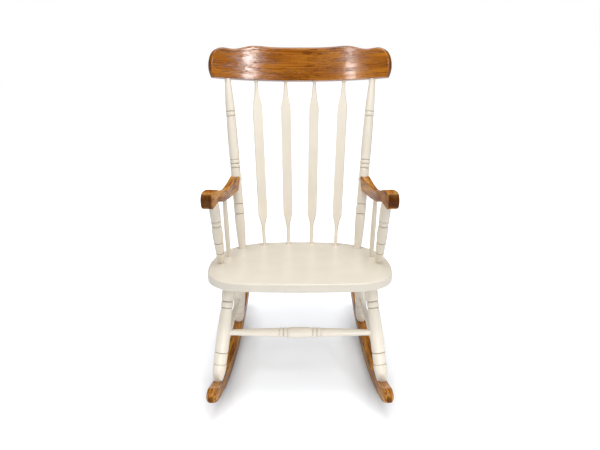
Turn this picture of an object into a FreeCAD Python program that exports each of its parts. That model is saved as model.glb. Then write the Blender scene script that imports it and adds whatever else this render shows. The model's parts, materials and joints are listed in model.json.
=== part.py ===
import FreeCAD, Part
import math
import os

# Spindle-back rocking chair. Millimetres and degrees. The sitter faces -Y, +Z is up and
# the floor is z = 0. Pieces on the sitter's right (-X) are modelled and mirrored.

V = FreeCAD.Vector

# Fits
fit_clearance = 0.1
end_clearance = 0.5
overrun = 20.0

# Seat board: four arcs with rounded corners, the top plane falls to the rear
seat_width = 578.0
seat_depth = 461.5
seat_thickness = 27.0
seat_front_height = 404.5
seat_tilt_angle = 2.5
seat_widest_depth = 188.0
seat_front_radius = 2400.0
seat_side_radius = 516.0
seat_rear_radius = 954.0
seat_front_corner_radius = 122.0
seat_rear_corner_radius = 200.0
seat_top_round = 5.5
seat_under_round = 4.5
seat_socket_depth = 15.0
seat_leg_socket_depth = 11.0

# Back: the feet of the posts and spindles stand on an arc, the crest rail is bowed
back_recline_angle = 16.3
back_length = 575.0
back_foot_line = 434.5
back_foot_arc_radius = 363.0

crest_width = 624.5
crest_height = 121.0
crest_thickness = 24.0
crest_bow_radius = 757.0
# The saw cuts of the outline aim at a line this far in front of the rail's middle
crest_saw_reach = 450.0
crest_front_round = 7.0
crest_tenon_length = 26.0
# Half outline from the lower corner over the ear to the centre: shares of half width, height
crest_outline_shares = [
    (0.968, 0.0),
    (0.995, 0.20),
    (0.998, 0.48),
    (0.966, 0.74),
    (0.885, 0.869),
    (0.77, 0.852),
    (0.69, 0.882),
    (0.61, 0.945),
    (0.53, 0.98),
    (0.38, 0.972),
    (0.0, 0.969),
]

# Turned pieces: V grooves part one stretch of a profile from the next
groove_depth = 2.2
groove_half_width = 2.2

back_post_foot_spread = 199.0
# From the end of the crest rail to the axis of the post
back_post_top_inset = 61.25
back_post_diameter = 35.5
back_post_tenon_diameter = 15.0
# Stretches from the seat up: share of the length, share of the radius
back_post_shares = [
    [(0.0, 0.69), (0.085, 0.88), (0.202, 0.98)],
    [(0.202, 0.965), (0.231, 0.985), (0.26, 0.96)],
    [(0.26, 0.955), (0.471, 0.965)],
    [(0.471, 0.965), (0.483, 1.0), (0.495, 0.965)],
    [(0.495, 0.965), (0.507, 1.0), (0.519, 0.965)],
    [(0.519, 0.98), (0.63, 1.0), (0.775, 0.915)],
    [(0.775, 0.92), (0.789, 0.955), (0.803, 0.92)],
    [(0.803, 0.94), (0.90, 0.80), (1.0, 0.57)],
]

# Flat arrow spindles of the back, from the middle outwards
spindle_foot_spreads = [40.4, 124.6]
spindle_top_spreads = [51.4, 154.0]
spindle_width = 35.0
spindle_thickness = 13.5
spindle_shares = [
    [(0.0, 0.36), (0.085, 0.37)],
    [(0.085, 0.37), (0.14, 0.56), (0.18, 0.95)],
    [(0.18, 0.95), (0.829, 1.0)],
    [(0.829, 1.0), (0.85, 0.94), (0.87, 0.80)],
    [(0.87, 0.80), (0.915, 0.55), (1.0, 0.39)],
]

# Arm supports, set in the seat in front of the back
arm_post_foot_spread = 253.0
arm_post_foot_depth = 211.4
arm_post_diameter = 34.5
arm_post_tenon_diameter = 16.0
arm_post_tenon_length = 20.0
arm_post_shares = [
    [(0.0, 0.46), (0.07, 0.66), (0.182, 0.78)],
    [(0.182, 0.79), (0.27, 0.87), (0.36, 0.90)],
    [(0.36, 0.90), (0.48, 1.0), (0.64, 0.90)],
    [(0.64, 0.88), (0.68, 0.94), (0.717, 0.90)],
    [(0.717, 0.93), (0.82, 0.99), (1.0, 0.86)],
]

arm_spindle_foot_spread = 236.0
arm_spindle_foot_depth = 280.9
arm_spindle_diameter = 17.0
arm_spindle_tenon_length = 15.0
arm_spindle_shares = [
    [(0.0, 0.80), (0.375, 1.0), (1.0, 0.80)],
]

# Arms: sawn to a side profile and to a plan, then rounded. The profile stations are shares
# of the reach from the arm post to the back post, heights are shares of the hand hold.
arm_seat_spread = 262.0
arm_seat_depth = 149.0
arm_seat_height = 610.0
arm_hold_height = 56.0
arm_hold_width = 34.4
arm_round = 4.5
arm_wrap = 12.0
arm_under_shares = [
    (0.97, -0.46),
    (0.845, -0.53),
    (0.71, -0.55),
    (0.58, -0.48),
    (0.367, -0.31),
    (0.256, -0.21),
    (0.121, -0.09),
    (0.05, 0.0),
    (-0.02, 0.06),
    (-0.09, 0.0),
    (-0.14, -0.08),
]
arm_front_shares = [
    (-0.168, -0.105),
    (-0.190, -0.05),
    (-0.206, 0.11),
    (-0.214, 0.32),
    (-0.208, 0.55),
    (-0.187, 0.73),
    (-0.15, 0.82),
]
arm_top_shares = [
    (-0.10, 0.85),
    (-0.05, 0.81),
    (0.0, 0.73),
    (0.121, 0.54),
    (0.256, 0.37),
    (0.407, 0.245),
    (0.576, 0.19),
    (0.71, 0.20),
    (0.845, 0.25),
    (0.97, 0.335),
]
# Plan stations: share of the reach, centre line and half width as shares of the hold width
arm_plan_shares = [
    (-0.23, 0.175, 0.50),
    (-0.131, 0.09, 0.505),
    (-0.067, -0.01, 0.475),
    (0.0, -0.10, 0.43),
    (0.123, -0.205, 0.40),
    (0.256, -0.205, 0.385),
    (0.367, -0.155, 0.372),
    (0.58, 0.025, 0.363),
    (0.71, 0.10, 0.363),
    (0.845, 0.12, 0.42),
    (0.97, 0.09, 0.50),
]
# Where the arm spindle stands: a station of both tables
arm_spindle_station_share = 0.367

# Legs, socketed under the seat and tenoned into the rockers
leg_diameter = 41.5
leg_foot_tenon_diameter = 18.0
leg_foot_tenon_length = 24.0
front_leg_top_spread = 215.8
front_leg_top_depth = 109.0
rear_leg_top_spread = 203.5
rear_leg_top_depth = 352.0
leg_shares = [
    [(0.0, 0.61), (0.10, 0.94), (0.20, 0.90)],
    [(0.20, 0.86), (0.232, 0.89), (0.264, 0.86)],
    [(0.264, 0.83), (0.42, 0.955), (0.713, 0.995)],
    [(0.713, 0.98), (0.77, 0.985), (0.832, 0.95)],
    [(0.832, 0.985), (0.885, 0.97), (1.0, 0.67)],
]

# Stretchers between the legs: heights of their axes above the floor
front_stretcher_height = 219.0
side_stretcher_height = 170.0
rear_stretcher_height = 230.0
stretcher_end_setback = 6.0
front_stretcher_diameter = 33.0
# From one end to the barrel in the middle, the other half mirrors it
front_stretcher_half_shares = [
    [(0.0, 0.45), (0.20, 0.56), (0.359, 0.79)],
    [(0.359, 0.81), (0.3745, 0.92), (0.39, 0.82)],
    [(0.39, 0.82), (0.404, 0.92), (0.418, 0.83)],
    [(0.418, 0.88), (0.5, 1.0), (0.582, 0.88)],
]
plain_stretcher_diameter = 20.0
plain_stretcher_shares = [
    [(0.0, 0.70), (0.5, 1.0), (1.0, 0.70)],
]

# Rockers: upright boards sawn to two concentric arcs, closer together at the rear
rocker_radius = 1248.0
rocker_height = 40.0
rocker_thickness = 31.0
rocker_nose_round = 14.0
rocker_edge_round = 3.5
front_foot_spread = 253.3
front_foot_depth = 28.5
rear_foot_spread = 232.7
rear_foot_depth = 514.0
rocker_low_behind_foot = 287.0
rocker_front_overhang = 130.0
rocker_rear_overhang = 262.0

# Screws and pins
arm_screw_diameter = 6.0
arm_screw_grip = 9.0
arm_screw_head_diameter = 14.0
arm_screw_head_height = 5.0
arm_screw_head_dome = 2.0
arm_screw_rise = 4.0
# Out of the line of the arm
arm_screw_angle = 37.0
arm_screw_seat_inset = 1.8

rocker_screw_diameter = 4.5
rocker_screw_head_diameter = 9.0
rocker_screw_head_height = 3.0
rocker_screw_recess = 8.0
rocker_screw_grip = 22.0

crest_pin_diameter = 5.0
crest_pin_length = 19.0
crest_pin_rise = 13.0


def place(origin, axis):
    """Placement that carries +Z onto axis and the origin onto origin."""
    return FreeCAD.Placement(origin, FreeCAD.Rotation(V(0, 0, 1), axis))


def along(start, end, distance):
    """Point on the line from start through end at a distance from start."""
    step = (end - start).normalize()
    return start + step * distance


def between(start, end, share):
    return start + (end - start) * share


def at_height(start, end, height):
    """Point at a height above the floor on the line from start to end."""
    return between(start, end, (height - start.z) / (end.z - start.z))


def rod(start, end, radius):
    return Part.makeCylinder(radius, (end - start).Length, start, end - start)


def mirrored(shape):
    return shape.mirror(V(0, 0, 0), V(1, 0, 0))


def stretch_edge(points):
    """A straight edge through two points, or an arc through three."""
    if len(points) == 2:
        return Part.makeLine(*points)
    return Part.Arc(*points).toShape()


def smooth(points):
    spline = Part.BSplineCurve()
    spline.interpolate(points)
    return spline.toShape()


def turned(start, end, diameter, stretches, groove, foot=0, head=0, grow=0):
    """Lathe-turned piece from start to end, with round ends prolonged by foot and head."""
    length = (end - start).Length
    radius = diameter / 2
    edges = []
    last = len(stretches) - 1
    corners = [V(0, 0, -foot)]
    for index, stretch in enumerate(stretches):
        points = [V(r * radius + grow, 0, a * length) for a, r in stretch]
        if index > 0:
            points[0].z += groove * groove_half_width
        if index < last:
            points[-1].z -= groove * groove_half_width
        if index == 0 and foot > 0:
            corners.append(V(points[0].x, 0, -foot))
        if index > 0 and groove > 0:
            corners.append(V(points[0].x - groove_depth, 0, stretch[0][0] * length))
        corners.append(points[0])
        edges += [Part.makeLine(a, b) for a, b in zip(corners, corners[1:])
                  if a.distanceToPoint(b) > 0]
        edges.append(stretch_edge(points))
        corners = [points[-1]]
    if head > 0:
        corners.append(V(corners[0].x, 0, length + head))
    corners += [V(0, 0, length + head), V(0, 0, -foot)]
    edges += [Part.makeLine(a, b) for a, b in zip(corners, corners[1:])]
    face = Part.Face(Part.Wire(edges))
    solid = face.revolve(V(0, 0, 0), V(0, 0, 1), 360)
    solid.Placement = place(start, end - start)
    return solid


def foot_radius(diameter, stretches):
    """Radius of a turned piece at its first point."""
    foot_stretch, *_ = stretches
    (_, foot_share), *_ = foot_stretch
    return diameter / 2 * foot_share


def head_radius(diameter, stretches):
    """Radius of a turned piece at its last point."""
    *_, head_stretch = stretches
    *_, (_, head_share) = head_stretch
    return diameter / 2 * head_share


def radius_at(diameter, stretches, share):
    """Radius of a turned piece at a share of its length, straight between the points."""
    points = [point for stretch in stretches for point in stretch]
    for (a, r), (b, s) in zip(points, points[1:]):
        if a <= share <= b and b > a:
            return diameter / 2 * (r + (s - r) * (share - a) / (b - a))
    return diameter / 2 * points[-1][1]


# Seat geometry
rear_corner_depth = (seat_widest_depth + seat_depth) / 2
seat_frame = FreeCAD.Placement(
    V(0, 0, seat_front_height), FreeCAD.Rotation(V(1, 0, 0), -seat_tilt_angle))


def seat_point(x, y, rise=0):
    return seat_frame.multVec(V(x, y, rise))


def back_foot(spread):
    """Foot of a back post or spindle on the seat, on the arc of feet."""
    sagitta = back_foot_arc_radius - math.sqrt(back_foot_arc_radius ** 2 - spread ** 2)
    return seat_point(-spread, back_foot_line - sagitta)


# Crest rail geometry
back_rotation = FreeCAD.Rotation(V(1, 0, 0), -back_recline_angle)
crest_frame = FreeCAD.Placement(
    seat_point(0, back_foot_line) + back_rotation.multVec(V(0, 0, back_length)), back_rotation)


def bow(x):
    """How far forward the bowed rail lies at x."""
    return crest_bow_radius - math.sqrt(crest_bow_radius ** 2 - x ** 2)


def crest_point(spread, rise=0):
    """Point in the middle of the rail's thickness, rise above its lower edge."""
    return crest_frame.multVec(V(-spread, -bow(spread), rise))


# Axes of the pieces on the sitter's right
back_post_foot = back_foot(back_post_foot_spread)
back_post_top_spread = crest_width / 2 - back_post_top_inset
back_post_top = crest_point(back_post_top_spread)
arm_post_foot = seat_point(-arm_post_foot_spread, arm_post_foot_depth)
arm_post_top = V(-arm_seat_spread, arm_seat_depth, arm_seat_height)
arm_spindle_foot = seat_point(-arm_spindle_foot_spread, arm_spindle_foot_depth)
front_leg_top = seat_point(-front_leg_top_spread, front_leg_top_depth, -seat_thickness)
rear_leg_top = seat_point(-rear_leg_top_spread, rear_leg_top_depth, -seat_thickness)

# Rocker frame: +X runs to the rear along the board, the origin is below the front foot
front_foot_plan = V(-front_foot_spread, front_foot_depth, 0)
rear_foot_plan = V(-rear_foot_spread, rear_foot_depth, 0)
foot_spacing = (rear_foot_plan - front_foot_plan).Length
rocker_frame = FreeCAD.Placement(
    front_foot_plan, FreeCAD.Rotation(V(1, 0, 0), rear_foot_plan - front_foot_plan))


def rocker_point(run, rise, side=0):
    """Point at a run behind the front foot, rise above the lower arc of the board."""
    reach = rocker_radius - rise
    drop = math.sqrt(reach ** 2 - (run - rocker_low_behind_foot) ** 2)
    return V(run, side, rocker_radius - drop)


front_leg_foot = rocker_frame.multVec(rocker_point(0, rocker_height))
rear_leg_foot = rocker_frame.multVec(rocker_point(foot_spacing, rocker_height))

# Arm frame: +X runs to the rear towards the back post, +Y outwards
arm_screw_height = arm_seat_height + arm_screw_rise
arm_rear = at_height(back_post_foot, back_post_top, arm_screw_height)
arm_rear_radius = radius_at(
    back_post_diameter, back_post_shares,
    (arm_rear - back_post_foot).Length / (back_post_top - back_post_foot).Length)
arm_run = V(arm_rear.x - arm_post_top.x, arm_rear.y - arm_post_top.y, 0)
arm_reach = arm_run.Length
arm_frame = FreeCAD.Placement(arm_post_top, FreeCAD.Rotation(V(1, 0, 0), arm_run))
arm_centre_shares = {station: centre for station, centre, half in arm_plan_shares}
arm_rise_shares = dict(arm_under_shares)
arm_spindle_top = arm_frame.multVec(V(
    arm_spindle_station_share * arm_reach,
    arm_centre_shares[arm_spindle_station_share] * arm_hold_width,
    arm_rise_shares[arm_spindle_station_share] * arm_hold_height))


def seat_socket(start, end, radius, depth):
    """Blind hole that starts above the surface on the axis and ends depth below start."""
    inner = along(start, end, -depth - end_clearance)
    outer = along(start, end, overrun)
    return rod(inner, outer, radius + fit_clearance)


def on_both_sides(shapes):
    return shapes + [mirrored(shape) for shape in shapes]


def disc(radius, x, y):
    """Round blank as thick as the seat, its top in the plane z = 0."""
    return Part.makeCylinder(radius, seat_thickness, V(x, y, -seat_thickness))


def seat_blank():
    """Board inside four arcs, with rounded corners."""
    side_centre = seat_side_radius - seat_width / 2
    board = disc(seat_front_radius, 0, seat_front_radius)
    board = board.common(disc(seat_rear_radius, 0, seat_depth - seat_rear_radius))
    board = board.common(disc(seat_side_radius, side_centre, seat_widest_depth))
    board = board.common(disc(seat_side_radius, -side_centre, seat_widest_depth))
    corners = [e for e in board.Edges if e.BoundBox.ZLength > seat_thickness / 2]
    front = [e for e in corners if e.BoundBox.YMax < seat_widest_depth]
    board = board.makeFillet(seat_front_corner_radius, front)
    corners = [e for e in board.Edges if e.BoundBox.ZLength > seat_thickness / 2]
    rear = [e for e in corners if e.BoundBox.YMin > rear_corner_depth]
    return board.makeFillet(seat_rear_corner_radius, rear)


def make_seat():
    board = seat_blank()
    top = [e for e in board.Edges if e.BoundBox.ZMin > -seat_thickness / 2]
    board = board.makeFillet(seat_top_round, top)
    under = [e for e in board.Edges if e.BoundBox.ZMax < -seat_thickness + seat_under_round / 2]
    board = board.makeFillet(seat_under_round, under)
    board.Placement = seat_frame
    sockets = [
        seat_socket(back_post_foot, back_post_top,
                    foot_radius(back_post_diameter, back_post_shares), seat_socket_depth),
        seat_socket(arm_post_foot, arm_post_top,
                    foot_radius(arm_post_diameter, arm_post_shares), seat_socket_depth),
        seat_socket(arm_spindle_foot, arm_spindle_top,
                    foot_radius(arm_spindle_diameter, arm_spindle_shares),
                    seat_socket_depth),
    ]
    for foot_spread, top_spread in zip(spindle_foot_spreads, spindle_top_spreads):
        sockets.append(seat_socket(
            back_foot(foot_spread), crest_point(top_spread),
            foot_radius(spindle_width, spindle_shares), seat_socket_depth))
    for top, foot in ((front_leg_top, front_leg_foot), (rear_leg_top, rear_leg_foot)):
        sockets.append(seat_socket(
            top, foot, foot_radius(leg_diameter, leg_shares), seat_leg_socket_depth))
    return board.cut(on_both_sides(sockets))


def crest_outline(depth):
    """Outline of the rail, carried along the saw cuts to a plane at a depth."""
    right = []
    for x_share, z_share in crest_outline_shares:
        x = x_share * crest_width / 2
        spread = x * (crest_saw_reach + depth) / (crest_saw_reach - bow(x))
        right.append(V(-spread, depth, z_share * crest_height))
    left = [V(-p.x, p.y, p.z) for p in reversed(right[:-1])]
    return Part.Wire([smooth(right + left), Part.makeLine(left[-1], right[0])])


def crest_blank():
    """The bowed board sawn to its outline, before its edges are rounded."""
    half_angle = math.asin((crest_width / 2 + overrun) / crest_bow_radius)
    arcs = []
    for radius in (crest_bow_radius - crest_thickness / 2,
                   crest_bow_radius + crest_thickness / 2):
        ends = [V(radius * math.sin(a), radius * math.cos(a) - crest_bow_radius, -overrun)
                for a in (-half_angle, 0, half_angle)]
        arcs.append(Part.Arc(*ends).toShape())
    front, rear = arcs
    sides = [Part.makeLine(front.Vertexes[i].Point, rear.Vertexes[i].Point) for i in (0, 1)]
    plan = Part.Face(Part.Wire([front, sides[1], rear, sides[0]]))
    board = plan.extrude(V(0, 0, crest_height + 2 * overrun))
    depth = bow(crest_width / 2 + overrun) + crest_thickness
    sawn = Part.makeLoft([crest_outline(-depth), crest_outline(crest_thickness)], True, True)
    return board.common(sawn)


def make_crest_rail():
    blank = crest_blank()
    long_edges = [e for e in blank.Edges if e.BoundBox.XLength > crest_width / 2]
    top = [e for e in long_edges if e.BoundBox.ZLength > crest_height / 2]
    rail = blank.makeFillet(crest_front_round, top)
    rail.Placement = crest_frame
    sockets = [rod(
        along(back_post_top, back_post_foot, overrun),
        along(back_post_top, back_post_foot, -crest_tenon_length - end_clearance),
        back_post_tenon_diameter / 2 + fit_clearance)]
    for foot_spread, top_spread in zip(spindle_foot_spreads, spindle_top_spreads):
        foot = back_foot(foot_spread)
        top = crest_point(top_spread)
        sockets.append(rod(
            along(top, foot, overrun),
            along(top, foot, -crest_tenon_length - end_clearance),
            head_radius(spindle_width, spindle_shares) + fit_clearance))
    sockets.append(crest_pin(fit_clearance, end_clearance))
    return rail.cut(on_both_sides(sockets))


def above_crest_edge():
    """Space above the plane of the rail's lower edge, around the top of a back post."""
    block = Part.makeBox(crest_height, crest_height, crest_height,
                         V(-crest_height / 2, -crest_height / 2, 0))
    block.Placement = FreeCAD.Placement(back_post_top, back_rotation)
    return block


def crest_pin(grow, deepen):
    """Wooden pin driven from behind the rail through the tenon of the right back post."""
    centre = crest_point(back_post_top_spread, crest_pin_rise)
    angle = math.asin(back_post_top_spread / crest_bow_radius)
    rearward = back_rotation.multVec(V(-math.sin(angle), math.cos(angle), 0))
    outer = centre + rearward * (crest_thickness / 2 + (overrun if deepen else 0))
    inner = centre + rearward * (crest_thickness / 2 - crest_pin_length - deepen)
    return rod(inner, outer, crest_pin_diameter / 2 + grow)


def arm_screw_axis():
    """Where the arm screw crosses the back post's axis, and its forward direction."""
    angle = math.radians(arm_screw_angle)
    return arm_rear, arm_frame.Rotation.multVec(V(-math.cos(angle), math.sin(angle), 0))


def make_arm_screw():
    """Screw with a domed head, driven through the back post into the end of the arm."""
    centre, forward = arm_screw_axis()
    seat = centre - forward * (arm_rear_radius - arm_screw_seat_inset)
    tip = centre + forward * (arm_rear_radius + arm_screw_grip)
    head = Part.makeCylinder(arm_screw_head_diameter / 2, arm_screw_head_height, seat, -forward)
    dome = arm_screw_head_diameter ** 2 / (8 * arm_screw_head_dome) + arm_screw_head_dome / 2
    head = head.common(Part.makeSphere(dome, seat - forward * (arm_screw_head_height - dome)))
    return head.fuse(rod(seat, tip, arm_screw_diameter / 2)).removeSplitter()


def arm_screw_bores():
    """Shank hole and the flat spot face under the head."""
    centre, forward = arm_screw_axis()
    seat = centre - forward * (arm_rear_radius - arm_screw_seat_inset)
    tip = centre + forward * (arm_rear_radius + arm_screw_grip + end_clearance)
    shank = rod(seat - forward * overrun, tip, arm_screw_diameter / 2 + fit_clearance)
    face = rod(seat - forward * overrun, seat, arm_screw_head_diameter / 2 + fit_clearance)
    return [shank, face]


def make_back_post():
    post = turned(back_post_foot, back_post_top, back_post_diameter, back_post_shares, 1,
                  foot=seat_socket_depth, head=overrun)
    post = post.cut(above_crest_edge())
    tenon = rod(along(back_post_top, back_post_foot, overrun),
                along(back_post_top, back_post_foot, -crest_tenon_length),
                back_post_tenon_diameter / 2)
    bores = arm_screw_bores() + [crest_pin(fit_clearance, end_clearance)]
    return post.fuse(tenon).removeSplitter().cut(bores)


def make_spindle(foot_spread, top_spread):
    """Turned spindle planed flat on its front and back."""
    foot = back_foot(foot_spread)
    top = crest_point(top_spread)
    spindle = turned(foot, top, spindle_width, spindle_shares, 0,
                     foot=seat_socket_depth, head=crest_tenon_length)
    length = (top - foot).Length + seat_socket_depth + crest_tenon_length
    slab = Part.makeBox(spindle_width * 2, spindle_thickness, length + overrun * 2,
                        V(-spindle_width, -spindle_thickness / 2, -seat_socket_depth - overrun))
    turn = math.degrees(math.asin(top_spread / crest_bow_radius))
    slab.rotate(V(0, 0, 0), V(0, 0, 1), turn)
    slab.Placement = place(foot, top - foot).multiply(slab.Placement)
    return spindle.common(slab)


def arm_side_solid():
    """Side profile of the arm as a wide block, in its own frame."""
    profile = arm_under_shares + arm_front_shares + arm_top_shares
    side = [V(a * arm_reach, arm_hold_width * 2, h * arm_hold_height) for a, h in profile]
    edges = [smooth(side), Part.makeLine(side[-1], side[0])]
    return Part.Face(Part.Wire(edges)).extrude(V(0, -arm_hold_width * 4, 0))


def arm_blank():
    """Arm sawn to its side profile and its plan, in its own frame."""
    low = -arm_hold_height * 2
    outer = [V(a * arm_reach, (c + h) * arm_hold_width, low) for a, c, h in arm_plan_shares]
    inner = [V(a * arm_reach, (c - h) * arm_hold_width, low) for a, c, h in arm_plan_shares]
    edges = [smooth(outer), smooth(inner),
             Part.makeLine(outer[0], inner[0]), Part.makeLine(outer[-1], inner[-1])]
    plan = Part.Face(Part.Wire(Part.__sortEdges__(edges)))
    return arm_side_solid().common(plan.extrude(V(0, 0, arm_hold_height * 4)))


def make_arm():
    blank = arm_blank()
    rear_end = arm_reach * arm_plan_shares[-1][0]
    edges = [e for e in blank.Edges if e.BoundBox.XMin < rear_end - arm_round]
    arm = blank.makeFillet(arm_round, edges)
    arm.Placement = arm_frame
    rear_face = arm_reach - arm_rear_radius + arm_wrap
    beyond = Part.makeBox(arm_reach, arm_reach, arm_reach,
                          V(rear_face, -arm_reach / 2, -arm_reach / 2))
    beyond.Placement = arm_frame
    cope = turned(back_post_foot, back_post_top, back_post_diameter, back_post_shares, 0,
                  grow=fit_clearance)
    tenon = rod(along(arm_post_top, arm_post_foot, overrun),
                along(arm_post_top, arm_post_foot, -arm_post_tenon_length - end_clearance),
                arm_post_tenon_diameter / 2 + fit_clearance)
    socket = rod(along(arm_spindle_top, arm_spindle_foot, overrun),
                 along(arm_spindle_top, arm_spindle_foot,
                       -arm_spindle_tenon_length - end_clearance),
                 head_radius(arm_spindle_diameter, arm_spindle_shares) + fit_clearance)
    return arm.cut([beyond, cope, tenon, socket] + arm_screw_bores()[:1])


def make_arm_post():
    post = turned(arm_post_foot, arm_post_top, arm_post_diameter, arm_post_shares, 1,
                  foot=seat_socket_depth, head=overrun)
    arm_side = arm_side_solid()
    arm_side.Placement = arm_frame
    post = post.cut(arm_side)
    tenon = rod(along(arm_post_top, arm_post_foot, overrun),
                along(arm_post_top, arm_post_foot, -arm_post_tenon_length),
                arm_post_tenon_diameter / 2)
    return post.fuse(tenon).removeSplitter()


def make_arm_spindle():
    return turned(arm_spindle_foot, arm_spindle_top, arm_spindle_diameter,
                  arm_spindle_shares, 0, foot=seat_socket_depth,
                  head=arm_spindle_tenon_length)


def rocker_blank(thickness):
    """Board between two concentric arcs, with square ends."""
    runs = [-rocker_front_overhang, rocker_low_behind_foot, foot_spacing + rocker_rear_overhang]
    lower = [rocker_point(run, 0, -thickness / 2) for run in runs]
    centre = V(rocker_low_behind_foot, -thickness / 2, rocker_radius)
    upper = [centre + (p - centre) * (1 - rocker_height / rocker_radius) for p in lower]
    edges = [
        Part.Arc(*lower).toShape(),
        Part.makeLine(lower[-1], upper[-1]),
        Part.Arc(*reversed(upper)).toShape(),
        Part.makeLine(upper[0], lower[0]),
    ]
    return Part.Face(Part.Wire(edges)).extrude(V(0, thickness, 0))


def make_rocker():
    blank = rocker_blank(rocker_thickness)
    ends = [e for e in blank.Edges
            if e.Curve.TypeId == "Part::GeomLine" and e.BoundBox.ZLength > rocker_height / 2]
    board = blank.makeFillet(rocker_nose_round, ends)
    rims = [e for e in board.Edges if e.BoundBox.XLength > foot_spacing]
    board = board.makeFillet(rocker_edge_round, rims)
    board.Placement = rocker_frame
    cuts = []
    for top, foot in ((front_leg_top, front_leg_foot), (rear_leg_top, rear_leg_foot)):
        cuts.append(rod(along(foot, top, overrun),
                        along(foot, top, -leg_foot_tenon_length - end_clearance),
                        leg_foot_tenon_diameter / 2 + fit_clearance))
        cuts += rocker_screw_bores(top, foot)
    return board.cut(cuts)


def rocker_screw_head(top, foot):
    """Where the head of the screw sits, on the leg's axis above the lower arc."""
    slope = (top - foot).normalize().z
    return along(foot, top, -rocker_height / slope + rocker_screw_recess)


def rocker_screw_bores(top, foot):
    head = rocker_screw_head(top, foot)
    tip = along(foot, top, rocker_screw_grip - leg_foot_tenon_length + end_clearance)
    seat = along(head, top, rocker_screw_head_height)
    return [
        rod(along(head, top, -overrun), seat,
            rocker_screw_head_diameter / 2 + fit_clearance),
        rod(head, tip, rocker_screw_diameter / 2 + fit_clearance),
    ]


def make_rocker_screw(top, foot):
    head = rocker_screw_head(top, foot)
    seat = along(head, top, rocker_screw_head_height)
    tip = along(foot, top, rocker_screw_grip - leg_foot_tenon_length)
    shank = rod(head, tip, rocker_screw_diameter / 2)
    return shank.fuse(rod(head, seat, rocker_screw_head_diameter / 2)).removeSplitter()


def stretcher_ends(start, end):
    return along(start, end, stretcher_end_setback), along(end, start, stretcher_end_setback)


front_stretcher_shares = front_stretcher_half_shares + [
    [(1 - a, r) for a, r in reversed(stretch)]
    for stretch in reversed(front_stretcher_half_shares[:-1])]
front_leg_joint = at_height(front_leg_foot, front_leg_top, front_stretcher_height)
rear_leg_joint = at_height(rear_leg_foot, rear_leg_top, rear_stretcher_height)
side_front_joint = at_height(front_leg_foot, front_leg_top, side_stretcher_height)
side_rear_joint = at_height(rear_leg_foot, rear_leg_top, side_stretcher_height)


def opposite(point):
    return V(-point.x, point.y, point.z)


def stretcher_bore(start, end, diameter, shares):
    """Hole in the leg at start for the end of a stretcher that runs to end."""
    inner = along(start, end, stretcher_end_setback - end_clearance)
    outer = along(start, end, leg_diameter)
    return rod(inner, outer, foot_radius(diameter, shares) + fit_clearance)


def make_leg(top, foot, bores):
    leg = turned(top, foot, leg_diameter, leg_shares, 1,
                 foot=seat_leg_socket_depth, head=overrun)
    rocker = rocker_blank(2 * leg_diameter)
    rocker.Placement = rocker_frame
    tenon = rod(along(foot, top, overrun), along(foot, top, -leg_foot_tenon_length),
                leg_foot_tenon_diameter / 2)
    leg = leg.cut(rocker).fuse(tenon).removeSplitter()
    return leg.cut(bores + rocker_screw_bores(top, foot)[1:])


def make_front_leg():
    return make_leg(front_leg_top, front_leg_foot, [
        stretcher_bore(front_leg_joint, opposite(front_leg_joint),
                       front_stretcher_diameter, front_stretcher_shares),
        stretcher_bore(side_front_joint, side_rear_joint,
                       plain_stretcher_diameter, plain_stretcher_shares),
    ])


def make_rear_leg():
    return make_leg(rear_leg_top, rear_leg_foot, [
        stretcher_bore(rear_leg_joint, opposite(rear_leg_joint),
                       plain_stretcher_diameter, plain_stretcher_shares),
        stretcher_bore(side_rear_joint, side_front_joint,
                       plain_stretcher_diameter, plain_stretcher_shares),
    ])


def make_stretcher(start, end, diameter, shares, groove):
    return turned(*stretcher_ends(start, end), diameter, shares, groove)


# The frame's origin is midway between the tips of the rockers, on the floor
rocker_slant = (rear_foot_depth - front_foot_depth) / foot_spacing
front_tip_depth = front_foot_depth - rocker_front_overhang * rocker_slant
rear_tip_depth = rear_foot_depth + rocker_rear_overhang * rocker_slant
middle_depth = (front_tip_depth + rear_tip_depth) / 2


def save(name, shape):
    moved = shape.copy()
    moved.translate(V(0, -middle_depth, 0))
    moved.exportStep("parts/" + name + ".step")


def save_pair(name, shape):
    save(name + "_right", shape)
    save(name + "_left", mirrored(shape))


def main():
    os.makedirs("parts", exist_ok=True)
    save("seat", make_seat())

    save("crest_rail", make_crest_rail())
    save_pair("back_post", make_back_post())
    spindles = [make_spindle(*spreads)
                for spreads in zip(spindle_foot_spreads, spindle_top_spreads)]
    row = list(reversed(spindles)) + [mirrored(spindle) for spindle in spindles]
    for number, spindle in enumerate(row, start=1):
        save("back_spindle_" + str(number), spindle)

    save_pair("arm", make_arm())
    save_pair("arm_post", make_arm_post())
    save_pair("arm_spindle", make_arm_spindle())

    save_pair("rocker", make_rocker())
    save_pair("front_leg", make_front_leg())
    save_pair("rear_leg", make_rear_leg())
    save("front_stretcher", make_stretcher(
        front_leg_joint, opposite(front_leg_joint),
        front_stretcher_diameter, front_stretcher_shares, 1))
    save("rear_stretcher", make_stretcher(
        rear_leg_joint, opposite(rear_leg_joint),
        plain_stretcher_diameter, plain_stretcher_shares, 0))
    save_pair("side_stretcher", make_stretcher(
        side_front_joint, side_rear_joint,
        plain_stretcher_diameter, plain_stretcher_shares, 0))

    save("arm_screws", Part.makeCompound(on_both_sides([make_arm_screw()])))
    save("rocker_screws", Part.makeCompound(on_both_sides([
        make_rocker_screw(front_leg_top, front_leg_foot),
        make_rocker_screw(rear_leg_top, rear_leg_foot)])))
    save("crest_pins", Part.makeCompound(on_both_sides([crest_pin(0, 0)])))


main()
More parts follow.
